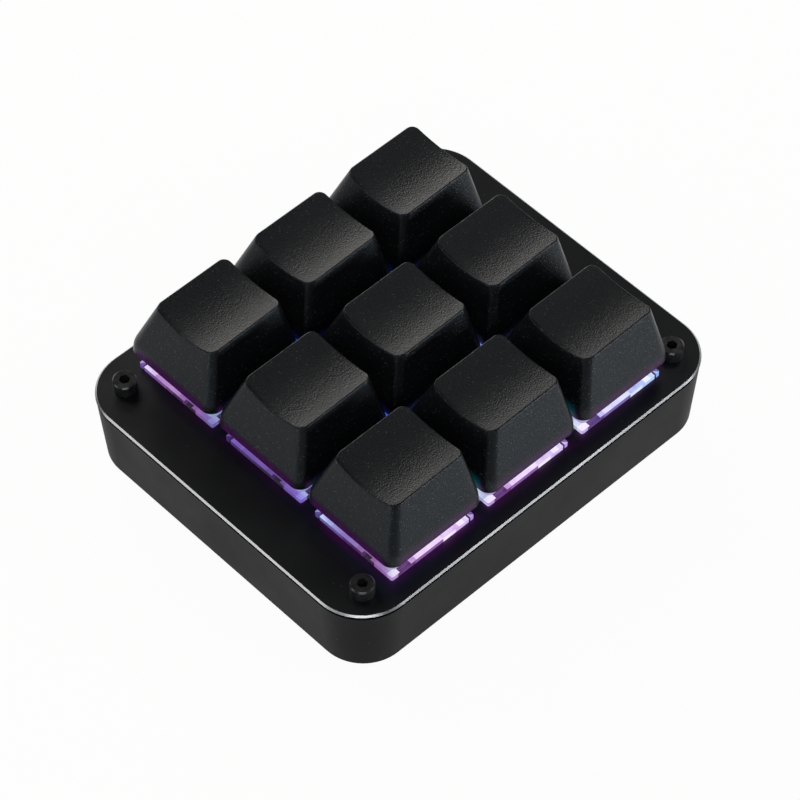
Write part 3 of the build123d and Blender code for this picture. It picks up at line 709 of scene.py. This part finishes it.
def cap_surface(base_half):
    """The cap from the middle of its inner roof, round the skirt and up to the middle of the dish.

    A quarter circle rounds the skirt's rim. The wall ends where it meets the dish. There a
    quadratic curve rounds the edge: it leaves the wall one rounding length below the edge, and
    meets the dish one rounding length inside it."""
    band_half = base_half - cap_band_draft
    base = rounded_outline(base_half, base_half, cap_base_radius)
    band = rounded_outline(band_half, band_half, cap_base_radius)
    top = rounded_outline(cap_top_width / 2, cap_top_depth / 2, cap_top_radius) + (0, cap_top_setback)
    height = np.full(len(base), cap_height)
    for _ in range(edge_passes):
        plan = wall_at(base, band, top, height)
        height = dish_height(plan[:, 0], plan[:, 1])
    edge = lift(plan, height)
    end_height = height - cap_edge_round
    wall_end = lift(wall_at(base, band, top, end_height), end_height)
    along = np.roll(plan, -1, axis=0) - np.roll(plan, 1, axis=0)
    inward = np.column_stack([-along[:, 1], along[:, 0]]) / np.linalg.norm(along, axis=1)[:, None]
    rim = plan + inward * cap_edge_round
    rim = lift(rim, dish_height(rim[:, 0], rim[:, 1]))
    inner_half = base_half - cap_wall
    inner_base = rounded_outline(inner_half, inner_half, cap_inner_radius)
    roof_height = dish_height(0.0, cap_top_setback - cap_top_depth / 2) - cap_roof
    roof_share = (roof_height - cap_band) / (cap_height - cap_band)
    roof_half_x = band_half + (cap_top_width / 2 - band_half) * roof_share - cap_wall
    roof_half_y = band_half + (cap_top_depth / 2 - band_half) * roof_share - cap_wall
    roof_plan = rounded_outline(roof_half_x, roof_half_y, cap_top_radius) + (0, cap_top_setback * roof_share)
    rings = []
    for part in inner_shares:
        rings.append(lift(roof_plan + (inner_base - roof_plan) * part, roof_height * (1 - part)))
    rings.append(lift(inner_base + (base - inner_base) * rim_crease_share, 0.0))
    low_wall = wall_at(base, band, top, np.full(len(base), cap_rim_round))
    toward = (inner_base - base) / cap_wall * cap_rim_round
    for turn in np.linspace(0, np.pi / 2, rim_rings)[:-1]:
        rings.append(lift(low_wall + toward * (1 - math.sin(turn)), cap_rim_round * (1 - math.cos(turn))))
    for part in np.linspace(0, 1, wall_rings):
        level = cap_rim_round + (end_height - cap_rim_round) * part
        rings.append(lift(wall_at(base, band, top, level), level))
    for part in np.linspace(0, 1, edge_rings)[1:]:
        rings.append((1 - part) ** 2 * wall_end + 2 * part * (1 - part) * edge + part**2 * rim)
    crown_start = len(rings) * len(base)
    middle = np.array((0, cap_top_setback))
    for part in np.linspace(1, 0, dish_rings)[1:-1]:
        plan = middle + (rim[:, :2] - middle) * part
        rings.append(lift(plan, dish_height(plan[:, 0], plan[:, 1])))
    roof_middle = (0, cap_top_setback * roof_share, roof_height)
    top_middle = (0, cap_top_setback, cap_dish_low)
    surface = ring_mesh(np.array(rings), roof_middle, top_middle)
    crown = np.zeros(len(surface[0]))
    crown[crown_start:] = 1
    return surface, crown, roof_height


def post_surface(roof_height):
    """The post inside the cap: a round tube whose hollow is a cross, from polar outlines."""
    angle = np.linspace(0, 2 * np.pi, post_steps, endpoint=False)
    across = np.maximum(np.abs(np.cos(angle)), least_slope)
    upward = np.maximum(np.abs(np.sin(angle)), least_slope)
    flat_bar = np.minimum(cross_half_span / across, cross_half_bar / upward)
    tall_bar = np.minimum(cross_half_bar / across, cross_half_span / upward)
    direction = np.column_stack([np.cos(angle), np.sin(angle)])
    cross = direction * np.maximum(flat_bar, tall_bar)[:, None]
    circle = direction * cap_post_radius
    socket_top = cap_post_low + cross_depth
    hollow = [lift(cross, socket_top), lift(cross, cap_post_low)]
    outside = [lift(circle, cap_post_low), lift(circle, roof_height)]
    return ring_mesh(np.array(hollow + outside), (0, 0, socket_top), (0, 0, roof_height))


def mix_values(tree, mask, low, high):
    """Blends two value outputs by a mask."""
    node = tree.nodes.new("ShaderNodeMix")
    tree.links.new(mask, node.inputs[0])
    tree.links.new(low, node.inputs[2])
    tree.links.new(high, node.inputs[3])
    return node.outputs[0]


skirt_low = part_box("keycap_front_left")[0].z
cap_plastic, tree, shader = start_material("keycap_plastic")
leather = add_grain(tree, grain_scale=4600.0, cloud_scale=140.0, fleck_scale=2400.0, fleck_share=0.4)
side_grain_and_painted_glints = add_grain(tree, grain_scale=4500.0, cloud_scale=140.0, fleck_scale=3200.0, fleck_share=0.6)
axes = object_axes(tree)
crown_mask = add_node(tree, "ShaderNodeAttribute", attribute_name="crown").outputs["Fac"]
pebble = add_node(tree, "ShaderNodeTexVoronoi", scale=3500.0)
tree.links.new(tree.nodes.new("ShaderNodeTexCoord").outputs["Object"], pebble.inputs["Vector"])
rough_side = work(tree, "MULTIPLY", side_grain_and_painted_glints.outputs["Height"], side_grain_share)
pebbles = work(tree, "MULTIPLY", pebble.outputs["Distance"], pebble_share)
rough_top = work(tree, "MULTIPLY_ADD", leather.outputs["Height"], leather_share, pebbles)
# Pale flecks painted into the base colour, partly dust specks and partly painted glints.
top_painted_glint_and_dust = work(tree, "MULTIPLY", leather.outputs["Fleck"], top_glint_and_dust_share)
painted_glint_and_dust = mix_values(tree, crown_mask, side_grain_and_painted_glints.outputs["Fleck"], top_painted_glint_and_dust)
tint(tree, painted_glint_and_dust, cap_tone, cap_glint_and_dust_fleck, shader.inputs["Base Color"], start=0.0, stop=1.0)
shader.inputs["Specular IOR Level"].default_value = cap_gloss
shader.inputs["Specular Tint"].default_value = cap_gloss_tint
side_rough = add_ramp(tree, leather.outputs["Cloud"], side_roughness)
top_rough = add_ramp(tree, leather.outputs["Cloud"], top_roughness)
tree.links.new(mix_colours(tree, crown_mask, side_rough, top_rough), shader.inputs["Roughness"])
grain_height = mix_values(tree, crown_mask, rough_side, rough_top)
raise_bump(tree, grain_height, shader, distance=0.0001, strength=0.8)
# Painted light: the lamps' purple and teal glow, painted on the foot of the skirt as emission.
up_skirt = work(tree, "DIVIDE", work(tree, "SUBTRACT", axes["Z"], skirt_low), painted_glow_reach_on_skirt)
reach = grid_reach(tree, axes)
on_right = work(tree, "GREATER_THAN", axes["X"], key_pitch)
near_edge = add_ramp(tree, work(tree, "MULTIPLY", reach, on_right), right_wall)
painted_inner_light = mix_colours(tree, near_edge, no_light, add_ramp(tree, up_skirt, painted_teal_glow))
local_x, local_y = add_key_place(tree)
to_corner = work(tree, "MINIMUM", work(tree, "ABSOLUTE", local_x), work(tree, "ABSOLUTE", local_y))
over_flange = add_ramp(tree, work(tree, "DIVIDE", to_corner, flange_half), skirt_corner)
painted_outer_light = mix_colours(tree, over_flange, no_light, add_ramp(tree, up_skirt, painted_skirt_glow))
painted_skirt_light = mix_colours(tree, outside_grid(tree, axes), painted_inner_light, painted_outer_light)
tree.links.new(painted_skirt_light, shader.inputs["Emission Color"])
shader.inputs["Emission Strength"].default_value = 1.0

for key in keys:
    low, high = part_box(f"keycap_{key}")
    surface, crown, roof_height = cap_surface((high.x - low.x) / 2)
    post = post_surface(roof_height)
    place = np.array(((low.x + high.x) / 2, (low.y + high.y) / 2, low.z))
    parts = [(points + place, quads, triangles) for points, quads, triangles in (surface, post)]
    piece = build_piece(f"cap_{key}", parts, cap_plastic)
    crown = np.append(crown, np.zeros(len(post[0])))
    piece.data.attributes.new("crown", "FLOAT", "POINT").data.foreach_set("value", crown)
    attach(piece, f"key_{key}")
    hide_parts(f"keycap_{key}")


# Studio
# A pale floor that shows as plain white and takes the keypad's shadow, soft lights all round the
# keypad, and a camera above its front right corner.
floor_half = 3.0
floor_tone = (0.8, 0.8, 0.8, 1.0)
floor_white_share = 0.96
fill_tone = (0.95, 0.97, 1.0, 1.0)
fill_strength = 0.02
softbox_distance = 0.6
softbox_side = 0.25
floor_corners = [(x * floor_half, y * floor_half, 0) for x, y in ((-1, -1), (1, -1), (1, 1), (-1, 1))]
floor_mesh = bpy.data.meshes.new("floor")
floor_mesh.from_pydata(floor_corners, [], [(0, 1, 2, 3)])
floor = bpy.data.objects.new("floor", floor_mesh)
bpy.context.scene.collection.objects.link(floor)
floor_white = bpy.data.materials.new("floor_white")
floor_white.use_nodes = True
tree = floor_white.node_tree
tree.nodes.clear()
matt = add_node(tree, "ShaderNodeBsdfDiffuse")
matt.inputs["Color"].default_value = floor_tone
glow = add_node(tree, "ShaderNodeEmission", strength=1.0)
rays = tree.nodes.new("ShaderNodeLightPath").outputs
mirrored = work(tree, "MAXIMUM", rays["Is Glossy Ray"], rays["Is Transmission Ray"])
shown = work(tree, "MULTIPLY", rays["Is Camera Ray"], floor_white_share)
seen = work(tree, "MAXIMUM", shown, work(tree, "MULTIPLY", mirrored, floor_white_share))
blend = add_node(tree, "ShaderNodeMixShader")
output = add_node(tree, "ShaderNodeOutputMaterial")
tree.links.new(seen, blend.inputs["Fac"])
tree.links.new(matt.outputs["BSDF"], blend.inputs[1])
tree.links.new(glow.outputs["Emission"], blend.inputs[2])
tree.links.new(blend.outputs["Shader"], output.inputs["Surface"])
floor_mesh.materials.append(floor_white)

world = bpy.data.worlds.new("studio")
bpy.context.scene.world = world
world.use_nodes = True
fill = world.node_tree.nodes["Background"]
fill.inputs["Color"].default_value = fill_tone
fill.inputs["Strength"].default_value = fill_strength

focus = Vector((0.0, 0.0, lid_top))


def add_softbox(name, azimuth, elevation, power, colour, width=softbox_side, height=softbox_side):
    """A rectangular soft light that faces the keypad from a direction in degrees."""
    around, above = math.radians(azimuth), math.radians(elevation)
    flat = math.cos(above)
    direction = Vector((math.cos(around) * flat, math.sin(around) * flat, math.sin(above)))
    lamp = bpy.data.lights.new(name, "AREA")
    lamp.shape = "RECTANGLE"
    lamp.size = width
    lamp.size_y = height
    lamp.energy = power
    lamp.color = colour
    holder = bpy.data.objects.new(name, lamp)
    holder.location = focus + direction * softbox_distance
    holder.rotation_euler = direction.to_track_quat("Z", "Y").to_euler()
    bpy.context.scene.collection.objects.link(holder)


add_softbox("left_softbox", azimuth=185, elevation=40, power=1.4, colour=(1.0, 0.91, 0.83))
add_softbox("back_left_softbox", azimuth=152, elevation=25, power=0.82, colour=(1.0, 0.92, 0.85))
add_softbox("back_left_low_softbox", azimuth=150, elevation=10, power=0.75, colour=(1.0, 0.94, 0.88))
add_softbox(
    "right_softbox", azimuth=30, elevation=6, power=1.9, colour=(0.93, 0.97, 1.0),
    width=0.3, height=0.1,
)
add_softbox("back_right_softbox", azimuth=56, elevation=42, power=0.5, colour=(1.0, 0.97, 0.94))
add_softbox("front_softbox", azimuth=270, elevation=10, power=0.5, colour=(0.88, 0.96, 1.0))
add_softbox("front_left_softbox", azimuth=240, elevation=25, power=0.38, colour=(1.0, 0.99, 0.98))
add_softbox(
    "camera_side_softbox", azimuth=316, elevation=38, power=0.74, colour=(1.0, 1.0, 1.0),
    width=0.44, height=0.08,
)
add_softbox(
    "back_softbox", azimuth=90, elevation=58, power=0.39, colour=(1.0, 0.95, 0.9),
    width=0.4, height=0.25,
)

view_azimuth = math.radians(46.898)
view_elevation = math.radians(51.418)
view_roll = math.radians(-0.515)
view_distance = 0.56354
view_target = Vector((0.004128, -0.003751, lid_top))
sensor_width = 36.0
view_lens = 172.859
back = Vector(
    (
        math.sin(view_azimuth) * math.cos(view_elevation),
        -math.cos(view_azimuth) * math.cos(view_elevation),
        math.sin(view_elevation),
    )
)
level = Vector((math.cos(view_azimuth), math.sin(view_azimuth), 0.0))
upright = back.cross(level)
right = level * math.cos(view_roll) + upright * math.sin(view_roll)
up = upright * math.cos(view_roll) - level * math.sin(view_roll)
camera_data = bpy.data.cameras.new("camera")
camera_data.lens = view_lens
camera_data.sensor_width = sensor_width
camera_data.clip_start = 0.01
camera_data.clip_end = 20.0
camera = bpy.data.objects.new("camera", camera_data)
camera.matrix_world = Matrix.Translation(view_target + back * view_distance) @ Matrix(
    (right, up, back)
).transposed().to_4x4()
bpy.context.scene.collection.objects.link(camera)
bpy.context.scene.camera = camera
bpy.context.scene.view_settings.view_transform = "Standard"

bpy.context.view_layer.update()
